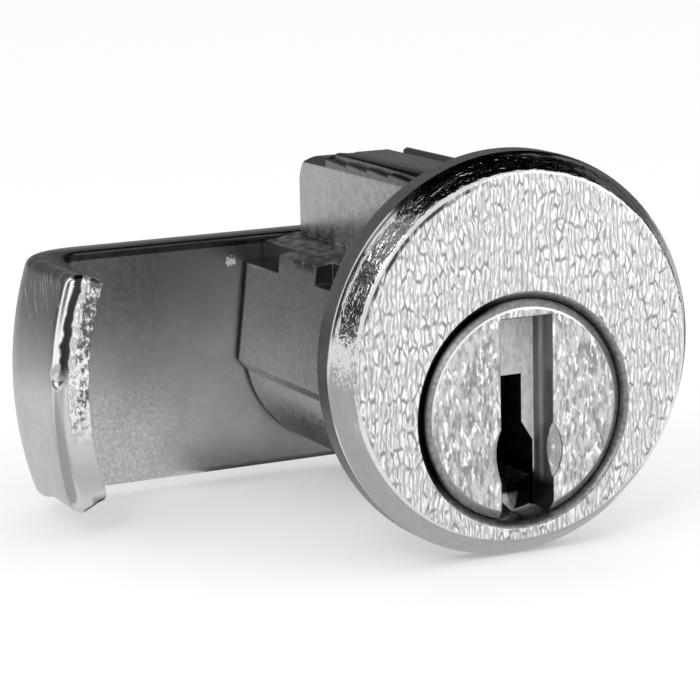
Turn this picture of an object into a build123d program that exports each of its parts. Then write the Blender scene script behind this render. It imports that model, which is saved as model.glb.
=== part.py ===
from build123d import *
import math
import os

# A pin tumbler lock for a mailbox door. All sizes are in millimetres.
# The origin lies on the plug's axis, where the back of the face disc meets the door.
# The axis runs along y, the face looks towards -y, and the cam points to -x while locked.

# Face disc
face_radius = 12.7
face_flat_radius = 11.58
face_centre_height = 3.3
rim_width = 1.6
bevel_depth = 1.51

# Barrel and its two flat sides
barrel_radius = 7.24
barrel_setback = 1.05
side_stand_out = 0.56
side_foot_height = -0.54
side_root_height = -1.35
side_lean_in = 0.42
shoulder_height = 7.45
shoulder_rise = 0.5
notch_length = 5.5
notch_pitch = 11.2
notch_depth = 1.22
notch_width = 1.2

# Pin tower on top of the barrel
tower_half_width = 3.2
tower_top = 13.5
tower_back_length = 4.24
tower_corner_radius = 2.0
rail_rise = 0.55
rail_end_wall = 0.95
rail_end_slant = 1.6
rail_chamfer_width = 0.6
rail_chamfer_height = 0.42
rail_tooth_pitch = 3.1
rail_tooth_depth = 0.22
pocket_half_width = 1.9
pocket_floor = 12.7
pocket_front = 0.6
pocket_back_gap = 0.55
cover_drop = 0.07
cover_chamfer = 0.6

# Plug: head, body and square tail
plug_face_radius = 6.42
plug_head_radius = 6.98
plug_chamfer_depth = 0.4
plug_head_length = 2.8
plug_body_radius = 5.2
tail_side = 5.6
tail_corner_radius = 0.5
face_hole_chamfer = 0.4

# Front slot, key entry and keyway
slot_centre_x = 0.13
slot_half_width = 1.8
slot_depth = 2.35
slot_top = 5.85
entry_radius = 2.52
entry_height = -2.72
keyway_top = 1.83
keyway_left_x = -0.88
keyway_narrow_x = 1.05
keyway_wide_x = 1.84
keyway_step_top = -1.26
keyway_step_bottom = -2.51
keyway_lip_height = -5.8
keyway_lip_x = 0.33
keyway_run_on = 0.5

# Pin stacks
pin_count = 5
first_pin_y = 2.45
pin_pitch = 3.3
pin_radius = 1.4
pin_chamfer = 0.3
pin_tip_height = 0.7
key_pin_lengths = [3.6, 4.8, 4.0, 5.2, 4.4]
key_pin_drop = 0.2
shortest_travel = 0.8
driver_pin_length = 3.6
driver_pin_lift = 0.27
spring_radius = 1.2
spring_wire = 0.3

# Fastening at the tail
stop_thickness = 1.6
stop_disc_radius = 4.9
stop_wall = 0.74
stop_lug_angle = 40.0
turn_angle = 90.0
cam_thickness = 2.4
cam_reach = 24.35
cam_half_width = 8.17
cam_plate_drop = 0.17
cam_hook_front = 14.5
cam_hook_top_angle = 20.0
cam_hook_bottom_angle = 18.3
cam_bend_radius = 1.6
cam_corner_cut = 0.6
screw_radius = 2.0
screw_head_radius = 4.0
screw_head_height = 2.0
screw_depth = 4.7
screw_slot_width = 1.0
screw_slot_depth = 1.1
screw_head_chamfer = 0.7
lock_washer_thickness = 0.8
lock_washer_radius = 4.2
lock_washer_split = 0.7

# Clearances
running_clearance = 0.06
fit_clearance = 0.05
axial_clearance = 0.06
recess_clearance = 0.2
stop_gap = 0.12
tail_gap = 0.18
stop_clearance_angle = 1.5

# Sizes that follow from the ones above
face_front = -(rim_width + bevel_depth)
bore_radius = plug_body_radius + running_clearance
head_bore_radius = plug_head_radius + running_clearance
chamber_radius = pin_radius + running_clearance
head_back = face_front + plug_head_length
head_seat = head_back + axial_clearance
rail_top = tower_top + rail_rise
pin_rows = [first_pin_y + pin_pitch * i for i in range(pin_count)]
rail_length = pin_rows[-1] + chamber_radius + rail_end_wall
tower_length = rail_length + tower_back_length
barrel_length = tower_length + barrel_setback
pocket_back = rail_length - pocket_back_gap
side_foot_x = barrel_radius + side_stand_out
side_top_x = barrel_radius - side_lean_in
cam_front = barrel_length + axial_clearance
cam_back = cam_front + cam_thickness
stop_front = cam_front - stop_thickness
recess_floor = stop_front - stop_gap
stop_lug_radius = barrel_radius - stop_wall - recess_clearance
tail_end = cam_back - tail_gap
screw_seat = cam_back + lock_washer_thickness
key_pin_top = plug_body_radius - key_pin_drop
chamber_floor = key_pin_top - max(key_pin_lengths) - shortest_travel
driver_pin_bottom = plug_body_radius + running_clearance + driver_pin_lift - pin_chamfer
slot_floor = face_front + slot_depth


def along_y(outline, front, back):
    """Draw a flat outline in x and z out from y = front to y = back."""
    return extrude(Plane.XZ.offset(-front) * outline, amount=front - back)


def rod(radius, front, back):
    return along_y(Circle(radius), front, back)


def points_outline(points):
    return make_face(Polyline(*points, close=True))


def upright(radius, bottom, top, y):
    """A round bar that stands along z at x = 0."""
    return Pos(0, y, bottom) * extrude(Circle(radius), amount=top - bottom)


def face_disc():
    edge = [(face_flat_radius, face_front), (face_radius, face_front + bevel_depth)]
    outline = points_outline([(0, 0), (0, face_front)] + edge + [(face_radius, 0)])
    return Pos(0, 0, face_centre_height) * revolve(outline, axis=Axis.Y)


def barrel():
    root_x = math.sqrt(barrel_radius**2 - side_root_height**2)
    half = [
        (root_x, side_root_height),
        (side_foot_x, side_foot_height),
        (side_top_x, shoulder_height),
        (tower_half_width, shoulder_height + shoulder_rise),
    ]
    other = [(-x, z) for x, z in reversed(half)]
    body = rod(barrel_radius, -rim_width, barrel_length)
    return body + along_y(points_outline(half + other), -rim_width, barrel_length)


def shoulder_notches():
    """The cuts along both top edges of the barrel's sides, counted from the back."""
    cuts = Part()
    count = int(barrel_length // notch_pitch)
    for side in (-1, 1):
        for i in range(count):
            back = barrel_length - i * notch_pitch
            block = Box(2 * notch_width, notch_length, 2 * notch_depth)
            cuts += Pos(side * side_top_x, back - notch_length / 2, shoulder_height) * block
    return cuts


def tower_outline(top):
    edge = tower_half_width - rail_chamfer_width
    half = [(tower_half_width, 0), (tower_half_width, top - rail_chamfer_height), (edge, top)]
    return points_outline(half + [(-x, z) for x, z in reversed(half)])


def pin_tower():
    tower = along_y(tower_outline(tower_top), -rim_width, tower_length)
    back_edge = tower.edges().filter_by(Axis.X).sort_by(Axis.Z)[-2:].sort_by(Axis.Y)[-1:]
    tower = fillet(back_edge, tower_corner_radius)
    return tower + along_y(tower_outline(rail_top), -rim_width, rail_length)


def rail_end_cut():
    """The slanted cut at the rails' back ends. They reach less far back towards the middle."""
    front = rail_length - rail_end_slant
    half = [(pocket_half_width, front), (tower_half_width, rail_length)]
    outline = points_outline(half + [(-x, y) for x, y in reversed(half)])
    return Pos(0, 0, tower_top) * extrude(outline, amount=2 * rail_rise)


def rail_teeth():
    """Saw cuts in the outer edges of both rails. Each gets deeper towards the face."""
    edge = tower_half_width - rail_chamfer_width / 2
    height = rail_top - rail_chamfer_height
    cuts = Part()
    count = int(rail_length // rail_tooth_pitch)
    for i in range(count):
        back = rail_length - i * rail_tooth_pitch
        outline = points_outline(
            [
                (back, height),
                (back, rail_top + rail_rise),
                (back - rail_tooth_pitch, rail_top + rail_rise),
                (back - rail_tooth_pitch, height - rail_tooth_depth),
            ]
        )
        for side in (-1, 1):
            cut = extrude(Plane.YZ * outline, amount=rail_chamfer_width / 2, both=True)
            cuts += Pos(side * (edge + rail_chamfer_width / 4), 0, 0) * cut
    return cuts


def ring_sector(radius, start, stop):
    """A pie slice about the axis. Angles run from -x towards +z."""
    reach = 2 * radius
    steps = [start + (stop - start) * i / 4 for i in range(5)]
    corners = [(-reach * math.cos(math.radians(a)), reach * math.sin(math.radians(a))) for a in steps]
    return Circle(radius) & points_outline([(0, 0)] + corners)


def stop_recess():
    middle = -90.0
    half = (turn_angle + stop_lug_angle) / 2 + stop_clearance_angle
    pocket = Circle(stop_disc_radius + recess_clearance)
    pocket += ring_sector(stop_lug_radius + recess_clearance, middle - half, middle + half)
    return along_y(pocket, recess_floor, barrel_length + 1)


def housing():
    body = face_disc() + barrel() + pin_tower()
    body -= shoulder_notches()
    body -= rail_teeth()
    body -= rail_end_cut()
    body -= rod(bore_radius, face_front - 1, barrel_length + 1)
    body -= rod(head_bore_radius, face_front - 1, head_seat)
    rim = Cone(
        head_bore_radius,
        head_bore_radius + 2 * face_hole_chamfer,
        2 * face_hole_chamfer,
    )
    body -= Pos(0, face_front, 0) * Rot(90, 0, 0) * rim
    body -= stop_recess()
    pocket_length = pocket_back - pocket_front
    pocket = Box(2 * pocket_half_width, pocket_length, 2 * (rail_top - pocket_floor))
    body -= Pos(0, pocket_front + pocket_length / 2, rail_top) * pocket
    for y in pin_rows:
        body -= upright(chamber_radius, 0, pocket_floor + 0.1, y)
    return body


def keyway():
    """The key's path through the plug, open at the bottom."""
    below = -2 * plug_head_radius
    outline = points_outline(
        [
            (keyway_left_x, keyway_top),
            (keyway_narrow_x, keyway_top),
            (keyway_narrow_x, keyway_step_top),
            (keyway_wide_x, keyway_step_bottom),
            (keyway_wide_x, below),
            (keyway_lip_x, below),
            (keyway_lip_x, keyway_lip_height - (keyway_lip_x - keyway_left_x)),
            (keyway_left_x, keyway_lip_height),
        ]
    )
    return along_y(outline, face_front - 1, pin_rows[-1] + pin_radius + keyway_run_on)


def plug():
    head = rod(plug_head_radius, face_front, head_back)
    front_edge = head.edges().sort_by(Axis.Y)[:1]
    head = chamfer(front_edge, plug_chamfer_depth, plug_head_radius - plug_face_radius)
    core = head + rod(plug_body_radius, head_back, stop_front)
    tail = along_y(RectangleRounded(tail_side, tail_side, tail_corner_radius), stop_front, tail_end)
    core += tail
    slot_length = slot_top + 2 * plug_head_radius
    slot = Box(2 * slot_half_width, 2 * slot_depth, slot_length)
    core -= Pos(slot_centre_x, face_front, slot_top - slot_length / 2) * slot
    entry = Cone(0, 2 * entry_radius, 2 * entry_radius)
    core -= Pos(slot_centre_x, face_front, entry_height) * Rot(90, 0, 0) * entry
    core -= keyway()
    for y in pin_rows:
        core -= upright(chamber_radius, chamber_floor, plug_body_radius + 1, y)
    core -= rod(screw_radius + fit_clearance, tail_end - screw_depth - fit_clearance, tail_end + 1)
    return core


def key_pin(row):
    """A lower pin with a cone tip and a length of its own."""
    length = key_pin_lengths[row]
    outline = points_outline(
        [
            (0, 0),
            (pin_radius - pin_tip_height, 0),
            (pin_radius, pin_tip_height),
            (pin_radius, length),
            (0, length),
        ]
    )
    pin = revolve(Plane.XZ * outline, axis=Axis.Z)
    return Pos(0, pin_rows[row], key_pin_top - length) * pin


def driver_pin(row):
    outline = points_outline(
        [
            (0, 0),
            (pin_radius - pin_chamfer, 0),
            (pin_radius, pin_chamfer),
            (pin_radius, driver_pin_length),
            (0, driver_pin_length),
        ]
    )
    pin = revolve(Plane.XZ * outline, axis=Axis.Z)
    return Pos(0, pin_rows[row], driver_pin_bottom) * pin


def pin_spring(row):
    bottom = driver_pin_bottom + driver_pin_length
    tube = upright(spring_radius, bottom, pocket_floor, pin_rows[row])
    return tube - upright(spring_radius - spring_wire, bottom - 1, pocket_floor + 1, pin_rows[row])


def chamber_cover():
    length = pocket_back - pocket_front - 2 * fit_clearance
    width = 2 * (pocket_half_width - fit_clearance)
    thickness = rail_top - pocket_floor - cover_drop
    strip = Box(width, length, thickness)
    strip = chamfer(strip.edges().filter_by(Axis.Y).sort_by(Axis.Z)[-2:], cover_chamfer)
    return Pos(0, (pocket_front + pocket_back) / 2, pocket_floor + thickness / 2) * strip


def tail_hole():
    side = tail_side + 2 * fit_clearance
    return RectangleRounded(side, side, tail_corner_radius)


def stop_washer():
    middle = -90.0 - turn_angle / 2
    outline = Circle(stop_disc_radius)
    outline += ring_sector(stop_lug_radius, middle - stop_lug_angle / 2, middle + stop_lug_angle / 2)
    return along_y(outline - tail_hole(), stop_front, cam_front)


def arc_edges(body, radius, y):
    """The round edges of this radius that lie in the plane at y."""
    arcs = body.edges().filter_by(GeomType.CIRCLE)
    return [e for e in arcs if abs(e.radius - radius) < 0.01 and abs(e.center().Y - y) < 0.01]


def cam():
    """The latch plate with its end bent forward along an arc about the plug's axis.

    The bent end's two short edges point at that axis.
    """
    inner = cam_reach - cam_thickness
    band = Pos(-cam_reach / 2, -cam_plate_drop) * Rectangle(cam_reach, 2 * cam_half_width)
    end = Circle(cam_reach) & band
    corners = end.vertices().sort_by(Axis.X)[:2]
    near_end = Pos(0, -cam_plate_drop) * Circle(cam_half_width)
    blank = chamfer(corners, cam_corner_cut) + near_end
    body = along_y(end + near_end, cam_front, cam_back)
    body += along_y(end - Circle(inner), cam_hook_front, cam_back)
    body = fillet(arc_edges(body, cam_reach, cam_back), cam_thickness + cam_bend_radius)
    body = fillet(arc_edges(body, inner, cam_front), cam_bend_radius)
    body = body & along_y(blank, cam_hook_front, cam_back)
    reach = 2 * cam_reach
    beside = Circle(reach) - ring_sector(reach, -cam_hook_bottom_angle, cam_hook_top_angle)
    body -= along_y(beside, cam_hook_front - 1, cam_front - cam_bend_radius)
    return body - along_y(tail_hole(), cam_front - 1, cam_back + 1)


def lock_washer():
    hole = screw_radius + fit_clearance
    ring = Circle(lock_washer_radius) - Circle(hole)
    ring -= Pos(0, -lock_washer_radius) * Rectangle(lock_washer_split, 2 * lock_washer_radius)
    return along_y(ring, cam_back, screw_seat)


def cam_screw():
    head = rod(screw_head_radius, screw_seat, screw_seat + screw_head_height)
    head = chamfer(head.edges().sort_by(Axis.Y)[-1:], screw_head_chamfer)
    slot = Box(screw_slot_width, 2 * screw_slot_depth, 3 * screw_head_radius)
    head -= Pos(0, screw_seat + screw_head_height, 0) * slot
    shank = rod(screw_radius, tail_end - screw_depth, screw_seat)
    return head + shank


os.makedirs("parts", exist_ok=True)
pieces = {
    "housing": housing(),
    "plug": plug(),
    "chamber_cover": chamber_cover(),
    "stop_washer": stop_washer(),
    "cam": cam(),
    "lock_washer": lock_washer(),
    "cam_screw": cam_screw(),
}
for row in range(pin_count):
    pieces[f"key_pin_{row + 1}"] = key_pin(row)
    pieces[f"driver_pin_{row + 1}"] = driver_pin(row)
    pieces[f"pin_spring_{row + 1}"] = pin_spring(row)
for name, shape in pieces.items():
    export_step(shape, f"parts/{name}.step")
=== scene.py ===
import math

import bmesh
import bpy
from mathutils import Matrix, Vector, noise


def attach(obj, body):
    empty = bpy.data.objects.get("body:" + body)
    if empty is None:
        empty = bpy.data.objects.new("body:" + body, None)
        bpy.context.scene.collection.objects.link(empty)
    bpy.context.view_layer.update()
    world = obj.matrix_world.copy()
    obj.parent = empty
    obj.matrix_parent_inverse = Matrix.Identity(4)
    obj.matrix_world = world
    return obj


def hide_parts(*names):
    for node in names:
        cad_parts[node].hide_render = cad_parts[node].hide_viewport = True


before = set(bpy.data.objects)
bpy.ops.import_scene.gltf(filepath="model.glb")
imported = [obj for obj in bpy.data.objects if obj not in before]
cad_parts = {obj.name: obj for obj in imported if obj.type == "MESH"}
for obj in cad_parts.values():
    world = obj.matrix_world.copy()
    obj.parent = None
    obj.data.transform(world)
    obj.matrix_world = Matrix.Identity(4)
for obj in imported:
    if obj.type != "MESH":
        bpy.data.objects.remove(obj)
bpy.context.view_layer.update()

# Lengths are in millimetres, and are brought to metres where they reach Blender.
MM = 0.001

# The camera, from the outlines in the photograph
CAMERA_PLACE = (-79.55, -142.81, 36.91)
VIEW_AZIMUTH = -25.838
VIEW_ELEVATION = 11.568
VIEW_ROLL = -1.29
FOCAL_PIXELS = 2670
PICTURE_WIDTH = 700
SENSOR_WIDTH = 36
LENS = FOCAL_PIXELS / PICTURE_WIDTH * SENSOR_WIDTH
CLIP_START = 10
CLIP_END = 10000

# The studio
FLOOR_HEIGHT = -9.5
FLOOR_REACH = 2000
FLOOR_GREY = 0.8
FLOOR_GLOW = 0.33
WORLD_LEVEL = 0.8
CARD_HEIGHT = FLOOR_HEIGHT + 0.1
AIM = (-4, 10, 2)

# The face disc
FACE_Z = 3.3
FACE_RADIUS = 12.7
FACE_FRONT = -3.11
FLAT_RADIUS = 11.58
RIM_WIDTH = 1.6
# Where a dark line of painted shade runs round the face, in place of a groove
GROOVE_SHADE_RADIUS = 11.3
RIM_CORNER = 0.5
FLAT_CORNER = 0.4
BACK_CORNER = 0.15

# The housing and the plug. Most of these tell faces apart, so they lie a little off the surfaces.
TOWER_TOP = 13.0
TOWER_SIDE = 3.3
HEAD_BORE = 7.2
NOTCH_BOTTOM = 5.8
NOTCH_TOP = 7.4
PLUG_FLAT = 6.2
PLUG_RIM = 6.52
PLUG_SIDE = 6.6
ENTRY_Z = -2.72
ENTRY_RADIUS = 2.6
# Where a light line of painted reflection runs along the slot's right wall
REFLECTION_LINE_Y = -1.7

# The latch cam
CAM_FRONT = 23.41
CAM_BACK = 25.81
CAM_TOP = 8.0
CAM_BOTTOM = -8.34
CAM_MIDDLE = (CAM_TOP + CAM_BOTTOM) / 2
CAM_HALF_WIDTH = (CAM_TOP - CAM_BOTTOM) / 2
HOOK_OUTSIDE = 24.35
HOOK_INSIDE = 21.95
HOOK_FRONT = 14.5
HOOK_TOP_ANGLE = math.radians(20.0)
HOOK_BOTTOM_ANGLE = math.radians(18.3)
WIDENING_START = 19.4
WIDENING_LENGTH = 4.0
OUTER_BEND = 4.0
INNER_BEND = 1.6
BEND_START = HOOK_OUTSIDE - OUTER_BEND
ROLLED_CORNER = 0.75
INNER_CORNER = 0.1
LIP = 0.03
HOLE_SIDE = 5.7

# How the cam's upper and lower edges are rounded
PLATE_ROUND = 0.25
HOOK_TOP_ROUND = 0.5
HOOK_BOTTOM_ROUND = 0.7
LIP_TOP_ROUND = 0.3
BEND_TOP_EXTRA = 0.25
BEND_BOTTOM_EXTRA = 0.55

# The hook's sheared end. The grain's start and rise are shares of the way across it.
NICK_RADIUS = 24.0
NICK_HEIGHT = 1.6
NICK_HALF_SIZE = (0.45, 0.85)
NICK_SLOPE = 0.6
NICK_DEPTH = 0.22
GRAIN_START = 0.3
GRAIN_RISE = 0.15
GRAIN_DEPTH = 0.06
GRAIN_SCALE = 2.3
GRAIN_BOTTOM = -3.4
GRAIN_FADE = 2.6

# The cam's mesh: points along its section, and rows from its bottom to its top
SIDE_STEPS = 16
BEND_STEPS = 10
PLATE_STEPS = 16
ROLL_STEPS = 8
END_STEPS = 14
NEAR_END = (0.0, 0.015, 0.06, 0.13, 0.24, 0.4, 0.62, 0.9)
ROW_PITCH = 0.14
# Rows at the top of the plate's front that are painted dark as shade
SHADED_ROWS = 6

# The copies of CAD nodes
MERGE_DISTANCE = 1e-4
FLAT_ANGLE = math.radians(0.4)
CORNER_ANGLE = math.radians(24)
SHARP_ANGLE = math.radians(32)
CAM_SHARP_ANGLE = math.radians(40)
WIDEST_ROUND = 0.22
ROUND_SEGMENTS = 3

# A face lies in a plane that it is this near to, and faces an axis with this much of its normal
NEAR = 0.01
FACING = 0.98

# Painted highlights on the plating, each a place and a size
PLATE_HIGHLIGHT = ((-8.0, CAM_FRONT, 6.35), 0.5)
SHOULDER_HIGHLIGHT = ((-4.6, 22.3, 7.75), 0.45)

# Most of a noise's values lie between these two
WIDE = (0.3, 0.7)
NARROW = (0.35, 0.65)
# The brightness of what is too deep for light
BLACK = 0.01


# Materials
#
# The bare numbers in steps() are where a look changes: places in millimetres for x, y, z and what
# is made of them, and otherwise values of a noise.

class Look:
    """A metal's nodes, added one call at a time. place, x, y and z are in millimetres."""

    def __init__(self, name, roughness, metallic=1.0):
        self.material = bpy.data.materials.new(name)
        self.material.use_nodes = True
        self.tree = self.material.node_tree
        self.shader = self.tree.nodes["Principled BSDF"]
        self.shader.inputs["Metallic"].default_value = metallic
        self.shader.inputs["Roughness"].default_value = roughness
        coords = self.tree.nodes.new("ShaderNodeTexCoord").outputs["Object"]
        self.place = self.vector("SCALE", coords, scale=1 / MM)
        self.x, self.y, self.z = self.parts(self.place)

    def put(self, socket, value):
        if isinstance(value, bpy.types.NodeSocket):
            self.tree.links.new(value, socket)
        else:
            socket.default_value = value

    def vector(self, operation, a, b=None, scale=None):
        node = self.tree.nodes.new("ShaderNodeVectorMath")
        node.operation = operation
        self.put(node.inputs[0], a)
        if b is not None:
            self.put(node.inputs[1], b)
        if scale is not None:
            self.put(node.inputs["Scale"], scale)
        return node.outputs[0]

    def parts(self, vector):
        node = self.tree.nodes.new("ShaderNodeSeparateXYZ")
        self.tree.links.new(vector, node.inputs[0])
        return node.outputs

    def join(self, *numbers):
        """The vector of up to three numbers."""
        node = self.tree.nodes.new("ShaderNodeCombineXYZ")
        for socket, number in zip(node.inputs, numbers):
            self.put(socket, number)
        return node.outputs[0]

    def math(self, operation, a, b=0.0):
        node = self.tree.nodes.new("ShaderNodeMath")
        node.operation = operation
        self.put(node.inputs[0], a)
        self.put(node.inputs[1], b)
        return node.outputs[0]

    def plus(self, a, b):
        return self.math("ADD", a, b)

    def minus(self, a, b):
        return self.math("SUBTRACT", a, b)

    def times(self, a, b):
        return self.math("MULTIPLY", a, b)

    def most(self, a, b):
        return self.math("MAXIMUM", a, b)

    def steps(self, value, low, high, to_low=0.0, to_high=1.0):
        """Goes smoothly from to_low, where the value is low, to to_high, where it is high."""
        node = self.tree.nodes.new("ShaderNodeMapRange")
        node.interpolation_type = "SMOOTHSTEP"
        node.inputs["From Min"].default_value = low
        node.inputs["From Max"].default_value = high
        node.inputs["To Min"].default_value = to_low
        node.inputs["To Max"].default_value = to_high
        self.put(node.inputs["Value"], value)
        return node.outputs["Result"]

    def mix(self, share, a, b):
        """The number a where share is 0 and b where it is 1."""
        node = self.tree.nodes.new("ShaderNodeMix")
        self.put(node.inputs[0], share)
        self.put(node.inputs[2], a)
        self.put(node.inputs[3], b)
        return node.outputs[0]

    def noise(self, scale, detail=2.0, stretch=(1, 1, 1), shift=(0, 0, 0), roughness=0.5, at=None):
        place = self.vector("MULTIPLY", at or self.place, stretch)
        place = self.vector("ADD", place, shift)
        node = self.tree.nodes.new("ShaderNodeTexNoise")
        node.inputs["Scale"].default_value = scale
        node.inputs["Detail"].default_value = detail
        node.inputs["Roughness"].default_value = roughness
        self.put(node.inputs["Vector"], place)
        return node.outputs["Fac"]

    def radius(self, middle=0.0):
        """The distance from the line along Y at this height."""
        z = self.minus(self.z, middle)
        return self.math("SQRT", self.plus(self.times(self.x, self.x), self.times(z, z)))

    def spot(self, middle, size):
        """1 in a ragged spot round this point."""
        x, y, z = self.parts(self.vector("SUBTRACT", self.place, middle))
        square = self.plus(self.times(x, x), self.times(y, y))
        square = self.plus(square, self.times(z, z))
        ragged = self.times(self.noise(4.0, 3.0, roughness=0.6), size * 2.5)
        away = self.plus(self.math("SQRT", square), ragged)
        return self.steps(away, size * 1.6, size * 1.9, 1.0, 0.0)

    def grey(self, level, tint=(1.0, 1.0, 1.0)):
        """The shader's colour from one brightness."""
        node = self.tree.nodes.new("ShaderNodeCombineColor")
        for socket, share in zip(node.inputs, tint):
            self.put(socket, level if share == 1.0 else self.times(level, share))
        self.tree.links.new(node.outputs[0], self.shader.inputs["Base Color"])

    def roughen(self, value):
        """The shader's roughness, where it varies."""
        self.put(self.shader.inputs["Roughness"], value)

    def bump(self, height, depth):
        """Height 0 to 1 stands for this depth in millimetres."""
        node = self.tree.nodes.new("ShaderNodeBump")
        node.inputs["Strength"].default_value = 1.0
        node.inputs["Distance"].default_value = depth * MM
        self.put(node.inputs["Height"], height)
        self.tree.links.new(node.outputs[0], self.shader.inputs["Normal"])


def crackled(name, pitch, tall, bright, dark, roughness):
    """The face's satin plating, with a grain of wavy upright cracks.

    The cracks are pitch apart and tall high. A dark line of painted shade, where a groove would
    lie, runs along the edge at the upper left.
    """
    look = Look(name, roughness)
    slow = look.noise(1.0, 1.0, (0.25 / pitch, 0.1, 0.3 / tall), (2.0, 0, 4.0))
    quick = look.noise(1.0, 1.0, (0.8 / pitch, 0.1, 1.2 / tall), (9.0, 0, 1.0))
    push = look.plus(look.times(slow, 2.4), quick)
    phase = look.plus(look.times(look.x, 1.0 / pitch), push)
    saw = look.math("ABSOLUTE", look.minus(look.math("FRACT", phase), 0.5))
    gaps = look.noise(1.0, 2.0, (0.7 / pitch, 0.1, 1.1 / tall), (5.0, 0, 7.0))
    lines = look.steps(saw, 0.04, 0.36, 1.0, 0.0)
    lines = look.times(lines, look.steps(gaps, 0.4, 0.58, 0.1, 0.85))

    cells = look.tree.nodes.new("ShaderNodeTexVoronoi")
    cells.feature = "DISTANCE_TO_EDGE"
    cells.voronoi_dimensions = "2D"
    cells.inputs["Scale"].default_value = 1.0
    cells.inputs["Randomness"].default_value = 0.85
    height = look.plus(look.times(look.z, 1.0 / tall), look.times(quick, 0.5))
    look.put(cells.inputs["Vector"], look.join(phase, height))
    walls = look.steps(cells.outputs["Distance"], 0.02, 0.26, 1.0, 0.0)
    walls = look.times(walls, look.steps(gaps, 0.36, 0.56, 1.0, 0.55))

    fine = look.noise(1.0, 2.0, (2.2 / pitch, 0.2, 1.6 / tall), (3, 0, 9))
    marks = look.most(look.most(lines, walls), look.steps(fine, 0.48, 0.7, 0.0, 0.6))
    # Painted shade: a dark line along the edge at the upper left, in place of a groove's shade
    off = look.math("ABSOLUTE", look.minus(look.radius(FACE_Z), GROOVE_SHADE_RADIUS))
    side = look.plus(look.minus(look.z, look.x), look.times(gaps, 8.0))
    groove_shade = look.times(look.steps(off, 0.08, 0.17, 1.0, 0.0), look.steps(side, 20.5, 23.5))
    patches = look.noise(0.8 / pitch, 2.0, (1, 0.2, 0.8), (4.0, 0, 2.0))
    between = look.steps(patches, *WIDE, bright * 0.88, min(bright * 1.08, 0.97))
    look.grey(look.mix(groove_shade, look.mix(marks, between, dark), 0.06))
    look.roughen(look.mix(marks, roughness, roughness + 0.12))
    look.bump(look.minus(1.0, marks), 0.01)
    return look.material


def speckled(name, low, high, roughness, metallic=1.0, deep_shade=False):
    """Grey plating with bright specks and faint upright streaks, with painted shade black low in
    the slot if asked.
    """
    look = Look(name, roughness, metallic)
    look.shader.inputs["Specular IOR Level"].default_value = 0.1
    streaks = look.noise(1.0, 2.0, (4.2, 0.2, 1.3), (3, 0, 9), roughness=0.6)
    cloud = look.noise(0.9, 2.0, (1.3, 0.2, 1.0), (6, 0, 2))
    specks = look.noise(1.0, 1.0, (4.6, 0.2, 1.8), (8, 0, 5))
    shade = look.steps(look.plus(streaks, look.times(cloud, 0.35)), 0.48, 0.86, low, high)
    shade = look.mix(look.steps(specks, 0.54, 0.72), shade, 0.95)
    # Painted shade: black low in the slot
    if deep_shade:
        shade = look.mix(look.steps(look.z, -4.2, -4.7), shade, BLACK)
    look.grey(shade)
    look.bump(look.plus(streaks, specks), 0.02)
    return look.material


def painted_shade_and_blotches(look, shade, patches, shade_from):
    """The housing's colour, with painted shade, dark blotches and a painted highlight added.

    It has painted shade past the given place along Y, where the barrel meets the cam, and on the
    tower's top, dark blotches on the shoulders, and a painted highlight on one shoulder.
    """
    # Painted shade past the given place along Y, where the barrel meets the cam
    far = look.plus(look.y, look.times(patches, 0.5))
    shade = look.times(shade, look.steps(far, shade_from, shade_from + 0.3, 1.0, 0.05))
    # Painted shade on the tower's top
    shade = look.times(shade, look.steps(look.z, TOWER_TOP - 0.08, TOWER_TOP + 0.1, 1.0, 0.4))
    # Darker in noisy blotches on the shoulders
    shoulders = look.times(look.steps(look.z, 6.6, 7.3), look.steps(look.z, 9.2, 8.0))
    blotches = look.steps(look.noise(1.3, 3.0, (1, 0.6, 1), roughness=0.65), 0.42, 0.58, 1.0, 0.3)
    shade = look.times(shade, look.mix(shoulders, 1.0, blotches))
    # A painted highlight on one shoulder
    return look.mix(look.spot(*SHOULDER_HIGHLIGHT), shade, 1.0)


def plated(name, level, roughness, grain, depth, shade_from=None):
    """Smooth plating over a casting with faint pits; given a Y, it gets painted shade, blotches
    and a painted highlight.
    """
    look = Look(name, roughness)
    patches = look.noise(0.35, 3.0)
    grains = look.noise(grain, 3.0, roughness=0.65)
    shade = look.steps(patches, *WIDE, level * 0.95, level * 1.04)
    if shade_from is not None:
        shade = painted_shade_and_blotches(look, shade, patches, shade_from)
    look.grey(shade)
    look.roughen(look.steps(grains, *WIDE, roughness * 0.8, roughness * 1.25))
    look.bump(grains, depth)
    return look.material


def rolled(name, level, roughness, depth):
    """Bright plating with shallow streaks round the disc's middle, smoother lower down."""
    look = Look(name, roughness)
    turn = look.times(look.math("ARCTAN2", look.minus(look.z, FACE_Z), look.x), 12.0)
    place = look.join(turn, look.times(look.radius(FACE_Z), 2.2), look.times(look.y, 2.2))
    streaks = look.noise(0.8, 3.0, roughness=0.6, at=place)
    look.grey(look.steps(streaks, 0.25, 0.75, level * 0.94, level * 1.04))
    look.roughen(look.steps(streaks, *WIDE, roughness * 0.85, roughness * 1.2))
    uneven = look.steps(look.z, -1.0, 4.0, 0.06, 1.0)
    uneven = look.times(uneven, look.steps(look.y, -1.75, -2.1, 0.1, 1.0))
    look.bump(look.times(streaks, uneven), depth)
    return look.material


def sided(name, roughness):
    """The disc's side, darker lower down."""
    look = Look(name, roughness)
    grains = look.noise(2.0, 3.0, roughness=0.6)
    shade = look.steps(look.z, -1.0, 9.0, 0.08, 0.5)
    look.grey(look.times(shade, look.steps(grains, *WIDE, 0.92, 1.06)))
    look.bump(grains, 0.006)
    return look.material


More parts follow.
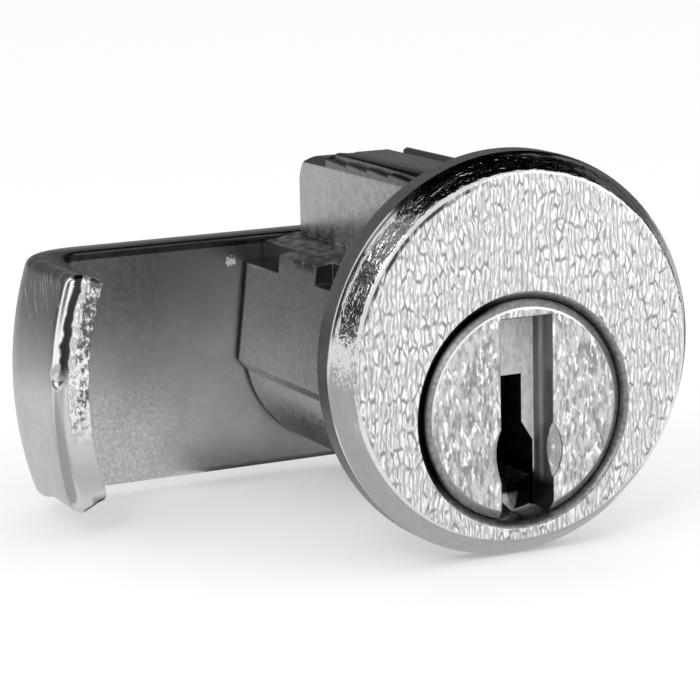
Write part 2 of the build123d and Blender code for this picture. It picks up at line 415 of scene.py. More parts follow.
def shaded_recess(name, level, roughness, dark, start, end):
    """Plating with painted shade towards the left at radii past start, for the shadow in the gap
    round the plug.
    """
    look = Look(name, roughness)
    grains = look.noise(3.0, 3.0, roughness=0.65)
    side = look.minus(look.times(look.z, 0.35), look.x)
    share = look.times(look.steps(side, 2.5, 5.2), look.steps(look.radius(), start, end))
    shade = look.steps(grains, *NARROW, level * 0.75, level * 1.2)
    look.grey(look.mix(share, shade, dark))
    look.bump(grains, 0.01)
    return look.material


def crescent(name, level, bright, roughness):
    """The plug's rounded edge: grey, with a painted highlight at the upper left."""
    look = Look(name, roughness)
    grains = look.noise(2.2, 3.0, roughness=0.6)
    side = look.plus(look.minus(look.z, look.times(look.x, 0.55)), look.times(grains, 3.0))
    look.grey(look.steps(side, 3.4, 5.4, level, bright))
    look.bump(grains, 0.01)
    return look.material


def darkened(name, level, roughness):
    """The slot's other walls, painted dark as shade and going black towards the keyway's lower
    end.
    """
    look = Look(name, roughness)
    grains = look.noise(2.5, 3.0, roughness=0.6)
    share = look.times(look.steps(look.z, -3.4, -4.2), look.steps(look.x, -1.5, -1.0))
    look.grey(look.mix(share, look.steps(grains, *NARROW, level * 0.8, level * 1.25), BLACK))
    look.bump(grains, 0.006)
    return look.material


def shadowed(name, level, roughness):
    """The bore's floor in front of the plug, painted black as shade but for a lighter corner below
    the keyway.
    """
    look = Look(name, roughness)
    grains = look.noise(2.5, 3.0, roughness=0.6)
    corner = look.plus(look.minus(look.x, look.times(look.z, 0.3)), look.times(grains, 0.4))
    share = look.times(look.steps(corner, 3.1, 2.9), look.steps(look.z, -5.8, -6.1))
    look.grey(look.mix(share, BLACK, look.steps(grains, *NARROW, level * 0.6, level)))
    look.bump(grains, 0.01)
    return look.material


def walled(name, level, roughness):
    """The slot's right wall, painted dark as shade, with a painted reflection as a light line,
    black at its bottom.
    """
    look = Look(name, roughness, metallic=0.35)
    grains = look.noise(1.5, 3.0, (1, 1, 0.3), roughness=0.65)
    # A light line of painted reflection along the wall
    reflection_line = look.steps(look.math("ABSOLUTE", look.minus(look.y, REFLECTION_LINE_Y)), 0.1, 0.42, 1.0, 0.0)
    shade = look.steps(grains, *NARROW, level * 0.85, level * 1.2)
    shade = look.mix(look.times(reflection_line, look.steps(grains, *NARROW, 0.4, 0.6)), shade, 0.6)
    # Painted shade going black at the wall's bottom
    look.grey(look.mix(look.steps(look.z, -4.2, -5.2), shade, BLACK))
    look.bump(grains, 0.006)
    return look.material


def turned(name, roughness, tint):
    """Brass with the fine rings that turning leaves round an upright pin, and a little tarnish."""
    look = Look(name, roughness)
    rings = look.noise(1.0, 3.0, (0.3, 0.3, 9.0), roughness=0.65)
    tarnish = look.noise(1.2, 3.0, roughness=0.6)
    level = look.steps(rings, *WIDE, 0.62, 0.78)
    level = look.times(level, look.steps(tarnish, 0.35, 0.7, 1.0, 0.82))
    look.grey(level, tint)
    look.roughen(look.steps(tarnish, 0.35, 0.7, roughness - 0.04, roughness + 0.1))
    look.bump(rings, 0.008)
    return look.material


def faced(name, level, roughness):
    """Plated steel with the fine rings of a turned screw head."""
    look = Look(name, roughness)
    rings = look.noise(1.0, 2.0, at=look.join(look.times(look.radius(), 9.0)))
    grains = look.noise(3.0, 3.0, roughness=0.6)
    look.grey(look.plus(look.steps(grains, *WIDE, level * 0.85, level), look.times(rings, 0.15)))
    look.bump(look.plus(rings, look.times(grains, 0.4)), 0.01)
    return look.material


def scratched(name, level, roughness):
    """The cam's satin plating.

    Painted shade darkens the plate towards its top and the hook towards its top and its bottom.
    Painted glints lie low on the plate, a painted highlight near its top, and scratches over the
    hook's top.
    """
    look = Look(name, roughness)
    patches = look.noise(0.35, 3.0)
    grains = look.noise(3.2, 3.0, roughness=0.65)
    mottle = look.noise(1.6, 3.0, roughness=0.6)
    mottle = look.times(mottle, look.steps(look.z, 6.0, -6.0, 0.3, 1.0))
    shade = look.steps(patches, *WIDE, level * 0.88, level * 0.98)
    shade = look.plus(shade, look.times(mottle, 0.22))

    # Painted shade: up-and-down gradients over the plate and the hook
    plate = look.times(look.steps(look.x, -22.0, -20.5), look.steps(look.y, 25.2, 23.8))
    on_hook = look.steps(look.z, 4.0, -3.0, 1.0, 0.68)
    on_plate = look.steps(look.z, 7.0, -5.0, 0.34, 0.8)
    shade = look.times(shade, look.mix(plate, on_hook, on_plate))
    # Painted glints low on the plate
    glint_area = look.times(look.steps(look.x, -9.0, -16.0), look.steps(look.z, 1.0, -4.0))
    glint_area = look.times(plate, glint_area)
    glints = look.steps(look.noise(3.8, 3.0, roughness=0.7), 0.38, 0.68, 0.9, 1.3)
    shade = look.times(shade, look.mix(glint_area, 1.0, glints))

    # Painted shade over the hook's top, where the scratches lie
    high = look.steps(look.plus(look.z, patches), 2.4, 6.5)
    high = look.times(look.steps(look.x, -20.5, -22.5), high)
    shade = look.times(shade, look.mix(high, 1.0, 0.55))
    along = look.times(look.plus(look.y, look.z), 0.35)
    across = look.times(look.minus(look.y, look.z), 4.0)
    lines = look.steps(look.noise(1.0, 2.0, at=look.join(along, across)), 0.57, 0.66)
    lines = look.times(lines, high)
    # A painted highlight near the plate's top
    shade = look.mix(look.spot(*PLATE_HIGHLIGHT), shade, 1.0)
    look.grey(look.mix(lines, shade, 0.85))
    look.roughen(look.steps(grains, *WIDE, roughness * 0.85, roughness * 1.2))
    look.bump(look.plus(look.times(grains, 0.5), lines), 0.012)
    return look.material


def sheared(name):
    """The hook's end: a band painted dark for its reflection, beside bright broken grain, both
    fading out lower down.

    A painted highlight lies on the ridge outside the band, a bright strip along the grain's near
    side, and a grey facet at the lower corner.
    """
    look = Look(name, 0.3)
    wobble = look.times(look.minus(look.noise(0.9, 3.0), 0.5), 0.6)
    across = look.plus(look.minus(HOOK_OUTSIDE, look.radius()), wobble)
    # The smooth band is painted dark for the dark it reflects
    band = look.times(look.steps(across, 0.35, 0.5), look.steps(across, 1.1, 0.9))
    band = look.times(band, look.steps(look.plus(look.z, wobble), 0.6, 2.4))
    grain = look.times(look.steps(across, 0.9, 1.1), look.steps(look.z, -3.4, -0.4))
    grains = look.noise(3.4, 3.0, (1, 1, 0.75), roughness=0.7)
    grains = look.plus(grains, look.steps(look.z, 4.5, 2.0, 0.0, 0.09))
    specks = look.steps(grains, 0.44, 0.6)
    strip = look.times(look.steps(across, 1.6, 1.4), look.steps(look.z, -1.5, 0.0))
    # A painted highlight on the ridge outside the band
    ridge_highlight = look.times(look.steps(across, 0.45, 0.35), look.steps(look.z, 1.0, 2.5))
    facet = look.times(look.steps(across, 1.2, 1.4), look.steps(look.z, -6.3, -6.8))
    level = look.mix(facet, look.mix(ridge_highlight, 0.62, 0.97), 0.3)
    level = look.mix(band, level, 0.04)
    level = look.mix(grain, level, look.most(look.mix(specks, 0.14, 1.0), strip))
    look.grey(level)
    look.roughen(look.mix(grain, 0.22, 0.3))
    look.bump(look.times(specks, grain), 0.05)
    return look.material


face_look = crackled("face_satin", pitch=0.34, tall=1.05, bright=0.94, dark=0.26, roughness=0.34)
bevel_look = rolled("bevel_plating", level=0.72, roughness=0.16, depth=0.12)
rim_look = sided("rim_plating", roughness=0.3)
# The casting gets painted shade past y = 23, where the barrel meets the cam
casting_look = plated("casting_plating", level=0.64, roughness=0.27, grain=1.6, depth=0.004,
                      shade_from=23.0)
# Painted shade: the notch pockets get a dark copy of the casting's plating
notch_shade_look = plated("notch_shade_plating", level=0.16, roughness=0.3, grain=1.6, depth=0.01)
# Painted shade: the gap round the plug goes dark towards the left
hole_edge_look = shaded_recess("hole_edge", level=0.27, roughness=0.42, dark=0.01, start=6.0, end=6.5)
bore_floor_look = shadowed("bore_floor", level=0.6, roughness=0.4)

plug_look = speckled("plug_satin", low=0.26, high=0.6, roughness=0.34)
# The rim's bright level is a painted highlight at the upper left
plug_rim_look = crescent("plug_rim", level=0.3, bright=0.85, roughness=0.25)
# Painted shade: the gap round the plug goes dark towards the left
plug_edge_look = shaded_recess("plug_edge", level=0.3, roughness=0.42, dark=0.005, start=6.62, end=6.9)
# Painted shade: the slot's walls are dark and go black deep in the keyway
slot_look = darkened("slot_wall", level=0.12, roughness=0.4)
# Painted shade on the slot's right wall, with a painted reflection as a light line
slot_side_look = walled("slot_side", level=0.14, roughness=0.3)
# Painted shade: these go black low in the slot
slot_floor_look = speckled("slot_floor", low=0.7, high=0.95, roughness=0.5, metallic=0.0,
                           deep_shade=True)
entry_look = speckled("entry_wall", low=0.4, high=0.52, roughness=0.5, metallic=0.0, deep_shade=True)

cam_look = scratched("cam_plating", level=0.66, roughness=0.34)
# Painted shade along the top edge of the plate's front
cam_edge_shade_look = plated("cam_edge_shade", level=0.06, roughness=0.3, grain=3.0, depth=0.006)
hook_end_look = sheared("hook_end")
steel_look = plated("steel_plating", level=0.55, roughness=0.3, grain=3.0, depth=0.006)
screw_look = faced("screw_plating", level=0.6, roughness=0.28)
brass_look = turned("turned_brass", roughness=0.28, tint=(1.0, 0.7, 0.31))


# Shapes

def link(name, mesh):
    """A new object in the scene."""
    obj = bpy.data.objects.new(name, mesh)
    bpy.context.scene.collection.objects.link(obj)
    return obj


def make_real(obj):
    """Takes up the object's modifiers into its mesh."""
    shown = obj.evaluated_get(bpy.context.evaluated_depsgraph_get())
    shape = bpy.data.meshes.new_from_object(shown)
    obj.modifiers.clear()
    old = obj.data
    obj.data = shape
    bpy.data.meshes.remove(old)


def mend(mesh):
    """Merges points that lie on each other, with the empty faces between them."""
    bm = bmesh.new()
    bm.from_mesh(mesh)
    bmesh.ops.remove_doubles(bm, verts=bm.verts, dist=0.001 * MM)
    bmesh.ops.dissolve_degenerate(bm, edges=bm.edges, dist=0.0005 * MM)
    bm.to_mesh(mesh)
    bm.free()


def polish(mesh, angle):
    """Smooth shading, with sharp edges where faces meet at more than this angle."""
    mesh.shade_smooth()
    mesh.set_sharp_from_angle(angle=angle)


def from_bmesh(bm, name, looks):
    """A mesh in metres from a bmesh in millimetres, with these materials."""
    mesh = bpy.data.meshes.new(name)
    for look in looks:
        mesh.materials.append(look)
    bmesh.ops.scale(bm, vec=(MM,) * 3, verts=bm.verts)
    bm.to_mesh(mesh)
    bm.free()
    return mesh


def from_cad(node, name, body, looks, rounded, choose=None):
    """A copy of a CAD node with its outer edges rounded, in place of the node.

    rounded gives an edge's rounding by its middle, and choose a face's material by its centre and
    normal.
    """
    bm = bmesh.new()
    bm.from_mesh(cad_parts[node].data)
    bmesh.ops.scale(bm, vec=(1 / MM,) * 3, verts=bm.verts)
    bmesh.ops.remove_doubles(bm, verts=bm.verts, dist=MERGE_DISTANCE)
    bmesh.ops.dissolve_limit(bm, angle_limit=FLAT_ANGLE, verts=bm.verts, edges=bm.edges)
    if node == "housing":
        round_disc(bm)
    weights = bm.edges.layers.float.new("bevel_weight_edge")
    for e in bm.edges:
        if len(e.link_faces) == 2 and e.calc_face_angle(0.0) > CORNER_ANGLE:
            e[weights] = rounded((e.verts[0].co + e.verts[1].co) / 2) / WIDEST_ROUND
    obj = link(name, from_bmesh(bm, name, looks))
    roll = obj.modifiers.new("roll", "BEVEL")
    roll.limit_method = "WEIGHT"
    roll.width = WIDEST_ROUND * MM
    roll.segments = ROUND_SEGMENTS
    roll.loop_slide = False
    roll.use_clamp_overlap = False
    make_real(obj)
    mend(obj.data)
    for f in obj.data.polygons:
        f.material_index = looks.index(choose(f.center / MM, f.normal)) if choose else 0
    polish(obj.data, SHARP_ANGLE)
    weigh = obj.modifiers.new("weigh", "WEIGHTED_NORMAL")
    weigh.keep_sharp = True
    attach(obj, body)
    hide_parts(node)


def from_face_middle(co):
    return math.hypot(co.x, co.z - FACE_Z)


def from_axis(co):
    return math.hypot(co.x, co.z)


def arc(r, y, radius, start, end, count):
    """Points of a corner's rounding in a turned profile, between two angles in degrees."""
    points = []
    for i in range(count + 1):
        angle = math.radians(start + (end - start) * i / count)
        points.append((r + radius * math.cos(angle), y + radius * math.sin(angle)))
    return points


def disc_profile():
    """The face disc's profile, as radius and Y, from its back edge to the flat front."""
    slope = math.degrees(math.atan2(FACE_RADIUS - FLAT_RADIUS, FACE_FRONT - -RIM_WIDTH))
    lean = 180 - abs(slope)
    profile = arc(FACE_RADIUS - BACK_CORNER, -BACK_CORNER, BACK_CORNER, 90, 0, 3)[1:]
    draw = RIM_CORNER * math.tan(math.radians(lean / 2))
    profile += arc(FACE_RADIUS - RIM_CORNER, -RIM_WIDTH + draw, RIM_CORNER, 0, -lean, 6)
    turn = 90 - lean
    draw = FLAT_CORNER * math.tan(math.radians(turn / 2))
    profile += arc(FLAT_RADIUS - draw, FACE_FRONT + FLAT_CORNER, FLAT_CORNER, -lean, -90, 6)
    return profile


def on_disc_front(face):
    """Whether a CAD face is the disc's side, bevel or flat front."""
    if face.normal.y >= 0.5:
        return False
    for v in face.verts:
        at_edge = from_face_middle(v.co) > FLAT_RADIUS - 0.01 or v.co.y < FACE_FRONT + 0.001
        if v.co.y >= 0.001 or not at_edge:
            return False
    return True


def round_disc(bm):
    """Gives the face disc a turned front with rounded corners, on the circle of its back edge."""
    old = [f for f in bm.faces if on_disc_front(f)]
    bmesh.ops.delete(bm, geom=old, context="FACES_ONLY")
    loose = [e for e in bm.edges if not e.link_faces]
    bmesh.ops.delete(bm, geom=loose, context="EDGES")
    bmesh.ops.delete(bm, geom=[v for v in bm.verts if not v.link_faces], context="VERTS")
    back = [v for v in bm.verts if abs(v.co.y) < 0.001]
    edge = [v for v in back if from_face_middle(v.co) > FACE_RADIUS - 0.05]
    edge.sort(key=lambda v: math.atan2(v.co.z - FACE_Z, v.co.x))
    for v in edge:
        share = (FACE_RADIUS - BACK_CORNER) / from_face_middle(v.co)
        v.co.x *= share
        v.co.z = FACE_Z + (v.co.z - FACE_Z) * share
    rings = [edge]
    for r, y in disc_profile():
        ring = []
        for v in edge:
            angle = math.atan2(v.co.z - FACE_Z, v.co.x)
            ring.append(bm.verts.new((r * math.cos(angle), y, FACE_Z + r * math.sin(angle))))
        rings.append(ring)
    for a, b in zip(rings, rings[1:]):
        for i in range(len(a)):
            j = (i + 1) % len(a)
            bm.faces.new((a[i], b[i], b[j], a[j]))
    front = [e for e in bm.edges if len(e.link_faces) == 1]
    bmesh.ops.triangle_fill(bm, use_beauty=True, use_dissolve=False, edges=front)
    bmesh.ops.recalc_face_normals(bm, faces=bm.faces)


def on_front(co):
    return co.y < FACE_FRONT + NEAR


def housing_look(centre, normal):
    if -1 < centre.y < -0.1 and from_axis(centre) < HEAD_BORE:
        return bore_floor_look
    if centre.y < NEAR and from_face_middle(centre) > FLAT_RADIUS - 0.2:
        if normal.y < -FACING and on_front(centre):
            return face_look
        return rim_look if abs(normal.y) < 0.2 else bevel_look
    if on_front(centre):
        return face_look
    if centre.y < -2.0:
        return hole_edge_look
    # Painted shade in the notch pockets
    if NOTCH_BOTTOM < centre.z < NOTCH_TOP and abs(centre.x) > TOWER_SIDE and centre.y > 0.1:
        return notch_shade_look
    return casting_look


def housing_edges(middle):
    bores = from_axis(middle) < 7.1 and middle.y > -3.0
    chambers = abs(middle.x) < 2.0 and middle.z > 12.5
    barrel_foot = abs(middle.y) < 0.05 and from_axis(middle) < 8.2
    disc = -3.0 < middle.y < -0.05 or from_face_middle(middle) > FLAT_RADIUS - 0.1
    if bores or chambers or barrel_foot or disc:
        return 0.0
    if abs(middle.x) > TOWER_SIDE and middle.z > 5.5 and middle.y > 0.1:
        return 0.05
    return 0.1


def plug_face_look(centre, normal):
    out = from_axis(centre)
    if out > PLUG_SIDE or out > PLUG_FLAT and not on_front(centre):
        return plug_rim_look if out < PLUG_RIM else plug_edge_look
    if normal.y < -FACING and on_front(centre):
        return plug_look
    if normal.x < -0.9 and centre.x > 1.5 and centre.y < 0:
        return slot_side_look
    if normal.y < -FACING and centre.y < 0:
        return slot_floor_look
    if centre.y < -0.8 and math.hypot(centre.x, centre.z - ENTRY_Z) < ENTRY_RADIUS:
        return entry_look
    return slot_look


def plug_edges(middle):
    if middle.y > -2.5:
        return 0.0
    return 0.1 if from_axis(middle) > 6.3 else 0.07


def strip_edges(middle):
    return 0.08


def washer_edges(middle):
    return 0.1


def screw_edges(middle):
    return 0.12 if middle.y > CAM_BACK and from_axis(middle) > 2.2 else 0.0


# Latch cam

def smooth(x):
    x = min(max(x, 0.0), 1.0)
    return x * x * (3 - 2 * x)


def rounding(depth, radius):
    """How far a rounded edge has drawn back from its side at this depth from its end."""
    if depth >= radius:
        return 0.0
    return radius - math.sqrt(radius**2 - (radius - depth) ** 2)


class SectionPoint:
    """A point of the cam's section, with the side it faces and how its two ends are rounded.

    On the plate, r is the share of the way from the bend to the round end.
    """

    def __init__(self, r, y, facing, top_round=PLATE_ROUND, bottom_round=PLATE_ROUND,
                 plate=False, grain=0.0):
        self.r = r
        self.y = y
        self.facing = facing
        self.top_round = top_round
        self.bottom_round = bottom_round
        self.plate = plate
        self.grain = grain

    def limits(self):
        if self.plate:
            return CAM_BOTTOM, CAM_TOP
        low = max(-self.r * math.sin(HOOK_BOTTOM_ANGLE), CAM_BOTTOM)
        high = min(self.r * math.sin(HOOK_TOP_ANGLE), CAM_TOP)
        part = smooth((self.y - WIDENING_START) / WIDENING_LENGTH)
        return low + (CAM_BOTTOM - low) * part, high + (CAM_TOP - high) * part

    def heights(self, steps):
        """Each row's height here, from the bottom up, with how far the edge has drawn back."""
        low, high = self.limits()
        last = NEAR_END[-1]
        rows = [(low + depth, rounding(depth, self.bottom_round)) for depth in NEAR_END]
        for k in range(1, steps):
            rows.append((low + last + (high - low - 2 * last) * (k / steps), 0.0))
        rows += [(high - depth, rounding(depth, self.top_round)) for depth in NEAR_END[::-1]]
        return rows

    def place(self, z, inset):
        y = self.y - inset * self.facing[1]
        if self.plate:
            start = -math.sqrt(BEND_START**2 - z * z)
            end = math.sqrt(max(CAM_HALF_WIDTH**2 - (z - CAM_MIDDLE) ** 2, 0.0))
            return Vector((start + (end - start) * self.r, y, z))
        r = self.r - inset * self.facing[0]
        if self.grain:
            at = Vector((self.r * GRAIN_SCALE, z * GRAIN_SCALE, 4.0))
            faded = self.grain * smooth((z - GRAIN_BOTTOM) / GRAIN_FADE)
            y += faded * (0.5 + noise.fractal(at, 1.0, 2.0, 3))
        if self.y < HOOK_FRONT + 1.0 and self.r > HOOK_INSIDE + 0.5:
            wide, tall = NICK_HALF_SIZE
            away = math.hypot((self.r - NICK_RADIUS) / wide, (z - NICK_HEIGHT) / tall)
            y += NICK_DEPTH * smooth((1 - away) / NICK_SLOPE)
        return Vector((-math.sqrt(r * r - z * z), y, z))


def cam_sides():
    """The outer and the inner side of the bent plate, from the hook's front to the round end."""
    outer = []
    inner = []
    top = HOOK_FRONT + ROLLED_CORNER
    low = HOOK_FRONT + INNER_CORNER
    for i in range(SIDE_STEPS + 1):
        part = i / SIDE_STEPS
        y = top + part * (CAM_BACK - OUTER_BEND - top)
        outer.append(SectionPoint(HOOK_OUTSIDE, y, (1, 0), HOOK_TOP_ROUND, HOOK_BOTTOM_ROUND))
        y = low + part * (CAM_FRONT - INNER_BEND - low)
        inner.append(SectionPoint(HOOK_INSIDE, y, (-1, 0), PLATE_ROUND, HOOK_BOTTOM_ROUND))
    for i in range(1, BEND_STEPS + 1):
        part = i / BEND_STEPS
        turn = part * math.pi / 2
        c, s = math.cos(turn), math.sin(turn)
        top_round = PLATE_ROUND + BEND_TOP_EXTRA * (1 - part)
        bottom_round = PLATE_ROUND + BEND_BOTTOM_EXTRA * (1 - part)
        r, y = BEND_START + OUTER_BEND * c, CAM_BACK - OUTER_BEND + OUTER_BEND * s
        outer.append(SectionPoint(r, y, (c, s), top_round, bottom_round))
        r, y = BEND_START + INNER_BEND * c, CAM_FRONT - INNER_BEND + INNER_BEND * s
        inner.append(SectionPoint(r, y, (-c, -s), PLATE_ROUND, bottom_round))
    for i in range(1, PLATE_STEPS + 1):
        outer.append(SectionPoint(i / PLATE_STEPS, CAM_BACK, (0, 1), plate=True))
        inner.append(SectionPoint(i / PLATE_STEPS, CAM_FRONT, (0, -1), plate=True))
    return outer, inner


def hook_end():
    """The hook's sheared front end: a rolled corner, a burnished band, then broken grain."""
    points = []
    start = HOOK_OUTSIDE - ROLLED_CORNER
    for i in range(1, ROLL_STEPS + 1):
        turn = i / ROLL_STEPS * math.pi / 2
        c, s = math.cos(turn), math.sin(turn)
        r, y = start + ROLLED_CORNER * c, HOOK_FRONT + ROLLED_CORNER * (1 - s)
        points.append(SectionPoint(r, y, (c, -s), HOOK_TOP_ROUND, HOOK_BOTTOM_ROUND))
    for i in range(1, END_STEPS):
        part = i / END_STEPS
        r = start + (HOOK_INSIDE + INNER_CORNER - start) * part
        grain = GRAIN_DEPTH * smooth((part - GRAIN_START) / GRAIN_RISE)
        points.append(SectionPoint(r, HOOK_FRONT, (0, -1), HOOK_TOP_ROUND, HOOK_BOTTOM_ROUND,
                                   grain=grain))
    points.append(SectionPoint(HOOK_INSIDE + LIP, HOOK_FRONT + LIP, (-0.7, -0.7), LIP_TOP_ROUND,
                               HOOK_BOTTOM_ROUND))
    return points


def cut_hole(obj):
    """Cuts the square hole for the plug's tail."""
    half = HOLE_SIDE / 2 * MM
    square = ((-half, -half), (half, -half), (half, half), (-half, half))
    front, back = (CAM_FRONT - 1) * MM, (CAM_BACK + 1) * MM
    corners = [(x, y, z) for y in (front, back) for x, z in square]
    sides = [(i, i + 4, (i + 1) % 4 + 4, (i + 1) % 4) for i in range(4)]
    mesh = bpy.data.meshes.new("cutter")
    mesh.from_pydata(corners, [], [(0, 1, 2, 3), (7, 6, 5, 4)] + sides)
    cutter = link("cutter", mesh)
    cut = obj.modifiers.new("hole", "BOOLEAN")
    cut.object = cutter
    cut.solver = "EXACT"
    make_real(obj)
    bpy.data.objects.remove(cutter)
    bpy.data.meshes.remove(mesh)


def latch_cam():
    """The bent plate: rows of points round its section, from its bottom to its top."""
    outer, inner = cam_sides()
    front = hook_end()
    section = outer[::-1] + front + inner
    n = len(section)
    first_front = len(outer)
    first_inner = first_front + len(front)
    steps = round((CAM_TOP - CAM_BOTTOM - 2 * NEAR_END[-1]) / ROW_PITCH)
    heights = [p.heights(steps) for p in section]
    looks = [cam_look, hook_end_look, cam_edge_shade_look]
    bm = bmesh.new()
    grid = []
    for k in range(len(heights[0])):
        grid.append([bm.verts.new(p.place(*h[k])) for p, h in zip(section, heights)])
    for k in range(1, len(grid)):
        a, b = grid[k - 1], grid[k]
        for i in range(n):
            j = (i + 1) % n
            f = bm.faces.new((a[i], a[j], b[j], b[i]))
            if first_front < i < first_inner:
                f.material_index = looks.index(hook_end_look)
            # Painted shade along the top edge of the inner bend and the plate's front
            elif k >= len(grid) - SHADED_ROWS and i >= first_inner + SIDE_STEPS:
                f.material_index = looks.index(cam_edge_shade_look)
    for row in (grid[0], grid[-1]):
        outs = row[:first_front][::-1]
        ins = row[first_inner:]
        for i in range(first_front - 1):
            bm.faces.new((outs[i], outs[i + 1], ins[i + 1], ins[i]))
        end = row[first_front:first_inner] + [ins[0]]
        for a, b in zip(end, end[1:]):
            bm.faces.new((outs[0], a, b))
    bmesh.ops.recalc_face_normals(bm, faces=bm.faces)
    obj = link("latch_cam", from_bmesh(bm, "latch_cam", looks))
    cut_hole(obj)
    polish(obj.data, CAM_SHARP_ANGLE)
    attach(obj, "plug")
    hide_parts("cam")


from_cad("housing", "lock_housing", "housing",
         [face_look, bevel_look, casting_look, hole_edge_look, notch_shade_look, rim_look,
          bore_floor_look],
         housing_edges, housing_look)
from_cad("plug", "lock_plug", "plug",
         [plug_look, plug_rim_look, plug_edge_look, slot_look, slot_side_look, slot_floor_look,
          entry_look],
         plug_edges, plug_face_look)
latch_cam()
from_cad("chamber_cover", "cover_strip", "housing", [steel_look], strip_edges)
from_cad("lock_washer", "split_washer", "plug", [steel_look], washer_edges)
from_cad("cam_screw", "slotted_screw", "plug", [screw_look], screw_edges)

for node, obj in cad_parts.items():
    if node.startswith(("key_pin", "driver_pin")):
        obj.data.materials.clear()
        obj.data.materials.append(brass_look)
    if node.startswith("pin_spring") or node == "stop_washer":
        obj.data.materials.clear()
        obj.data.materials.append(steel_look)


# Studio

def sees_background(tree):
    """1 for rays from the camera and for rays that metal or glass sends on, 0 for the rest."""
    path = tree.nodes.new("ShaderNodeLightPath")
    total = path.outputs["Is Camera Ray"]
    for name in ("Is Glossy Ray", "Is Transmission Ray"):
        add = tree.nodes.new("ShaderNodeMath")
        add.operation = "MAXIMUM"
        tree.links.new(total, add.inputs[0])
        tree.links.new(path.outputs[name], add.inputs[1])
        total = add.outputs[0]
    return total


def white_world():
    """A white world that lights the object a little less than it shows."""
    world = bpy.data.worlds.new("studio")
    bpy.context.scene.world = world
    world.use_nodes = True
    tree = world.node_tree
    level = tree.nodes.new("ShaderNodeMapRange")
    tree.links.new(sees_background(tree), level.inputs["Value"])
    level.inputs["To Min"].default_value = WORLD_LEVEL
    level.inputs["To Max"].default_value = 1.0
    tree.links.new(level.outputs["Result"], tree.nodes["Background"].inputs["Strength"])
    tree.nodes["Background"].inputs["Color"].default_value = (1, 1, 1, 1)


def matt(name, grey, roughness, glow):
    """A material without gloss that gives off light of this brightness."""
    look = bpy.data.materials.new(name)
    look.use_nodes = True
    shader = look.node_tree.nodes["Principled BSDF"]
    shader.inputs["Base Color"].default_value = (grey, grey, grey, 1)
    shader.inputs["Roughness"].default_value = roughness
    shader.inputs["Specular IOR Level"].default_value = 0.0
    shader.inputs["Emission Color"].default_value = (glow, glow, glow, 1)
    return look, shader


def pale_floor():
    """A pale floor that catches the object's shadow and shows as white."""
    mesh = bpy.data.meshes.new("floor")
    r = FLOOR_REACH * MM
    mesh.from_pydata([(-r, -r, 0), (r, -r, 0), (r, r, 0), (-r, r, 0)], [], [(0, 1, 2, 3)])
    floor = link("floor", mesh)
    floor.location.z = FLOOR_HEIGHT * MM
    look, shader = matt("floor", FLOOR_GREY, 0.9, 1)
    tree = look.node_tree
    lift = tree.nodes.new("ShaderNodeMath")
    lift.operation = "MULTIPLY"
    lift.inputs[1].default_value = FLOOR_GLOW
    tree.links.new(sees_background(tree), lift.inputs[0])
    tree.links.new(lift.outputs[0], shader.inputs["Emission Strength"])
    mesh.materials.append(look)


def lamp(name, place, size, watts):
    data = bpy.data.lights.new(name, "AREA")
    data.shape = "DISK"
    data.size = size * MM
    data.energy = watts
    obj = link(name, data)
    obj.location = Vector(place) * MM
    obj.rotation_mode = "QUATERNION"
    obj.rotation_quaternion = (Vector(AIM) - Vector(place)).to_track_quat("-Z", "Y")


def card(name, corner, across, along, glow):
    """A board that only shows in the metal, from one corner and its two sides."""
    a, b, c = (Vector(v) * MM for v in (corner, across, along))
    mesh = bpy.data.meshes.new(name)
    mesh.from_pydata([a, a + b, a + b + c, a + c], [], [(0, 1, 2, 3)])
    obj = link(name, mesh)
    look, shader = matt(name, 0, 1.0, glow)
    shader.inputs["Emission Strength"].default_value = 1.0
    mesh.materials.append(look)
    obj.visible_camera = False
    obj.visible_diffuse = False
    obj.visible_shadow = False
    obj.visible_transmission = False
    obj.visible_volume_scatter = False


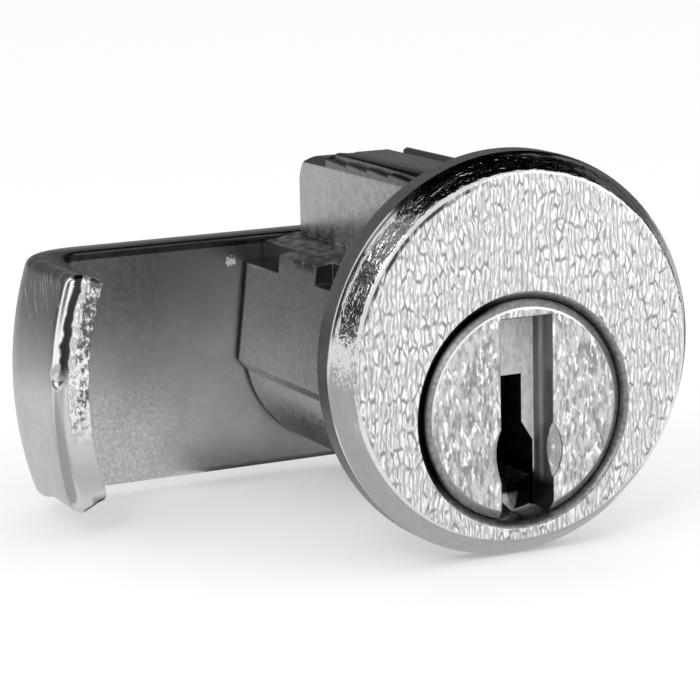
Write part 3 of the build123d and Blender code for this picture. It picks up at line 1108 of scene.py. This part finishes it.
def view_camera():
    """The photograph's view."""
    data = bpy.data.cameras.new("camera")
    data.lens = LENS
    data.sensor_width = SENSOR_WIDTH
    data.clip_start = CLIP_START * MM
    data.clip_end = CLIP_END * MM
    camera = link("camera", data)
    a, e, roll = (math.radians(x) for x in (VIEW_AZIMUTH, VIEW_ELEVATION, VIEW_ROLL))
    back = Vector((math.sin(a) * math.cos(e), -math.cos(a) * math.cos(e), math.sin(e)))
    right = Vector((math.cos(a), math.sin(a), 0))
    up = back.cross(right)
    c, s = math.cos(roll), math.sin(roll)
    turned_axes = Matrix((right * c + up * s, up * c - right * s, back)).transposed().to_4x4()
    camera.matrix_world = Matrix.Translation(Vector(CAMERA_PLACE) * MM) @ turned_axes
    return camera


white_world()
pale_floor()
lamp("key", (-150, -150, 150), 60, 0.10)
lamp("fill", (140, -160, 60), 120, 0.06)
card("card_top", (-55, -40, 110), (245, 0, 0), (0, 190, 0), 0.0)
card("card_left", (-120, -60, 14), (0, 70, 0), (0, 0, 120), 0.03)
card("card_right", (150, -40, CARD_HEIGHT), (0, 200, 0), (0, 0, 110), 0.06)
card("card_back_high", (-160, 70, 12), (320, 0, 0), (0, 0, 98), 0.15)
card("card_back_left", (-160, 70, CARD_HEIGHT), (116, 0, 0), (0, 0, 22), 0.14)
card("card_back_low", (-44, 70, CARD_HEIGHT), (198, 0, 0), (0, 0, 22), 0.62)
card("sheet_back", (-12, 27, CARD_HEIGHT), (90, 0, 0), (0, 43, 0), 0.16)
# Painted shadow: a grey sheet, seen only in the metal, for the floor's shade under the disc
card("sheet_under_shadow", (-26, -5, CARD_HEIGHT), (42, 0, 0), (0, 7.5, 0), 0.5)
card("sheet_front", (-90, -95, CARD_HEIGHT), (75, 0, 0), (0, 67, 0), 0.45)
# Painted shadow: a dark sheet, seen only in the metal, for the floor's shade under the barrel
card("sheet_barrel_shadow", (-10, 14, CARD_HEIGHT), (18, 0, 0), (0, 22, 0), 0.08)
card("sheet_left", (-130, -17, CARD_HEIGHT), (104, 0, 0), (0, 25, 0), 0.5)
card("sheet_rim", (-66, 8, CARD_HEIGHT), (40, 0, 0), (0, 14, 0), 0.5)
card("card_slant", (-120, -60, 112), (64, 0, 0), (0, 70, 0), 0.25)
bpy.context.scene.camera = view_camera()
bpy.context.scene.view_settings.view_transform = "Standard"

bpy.context.view_layer.update()
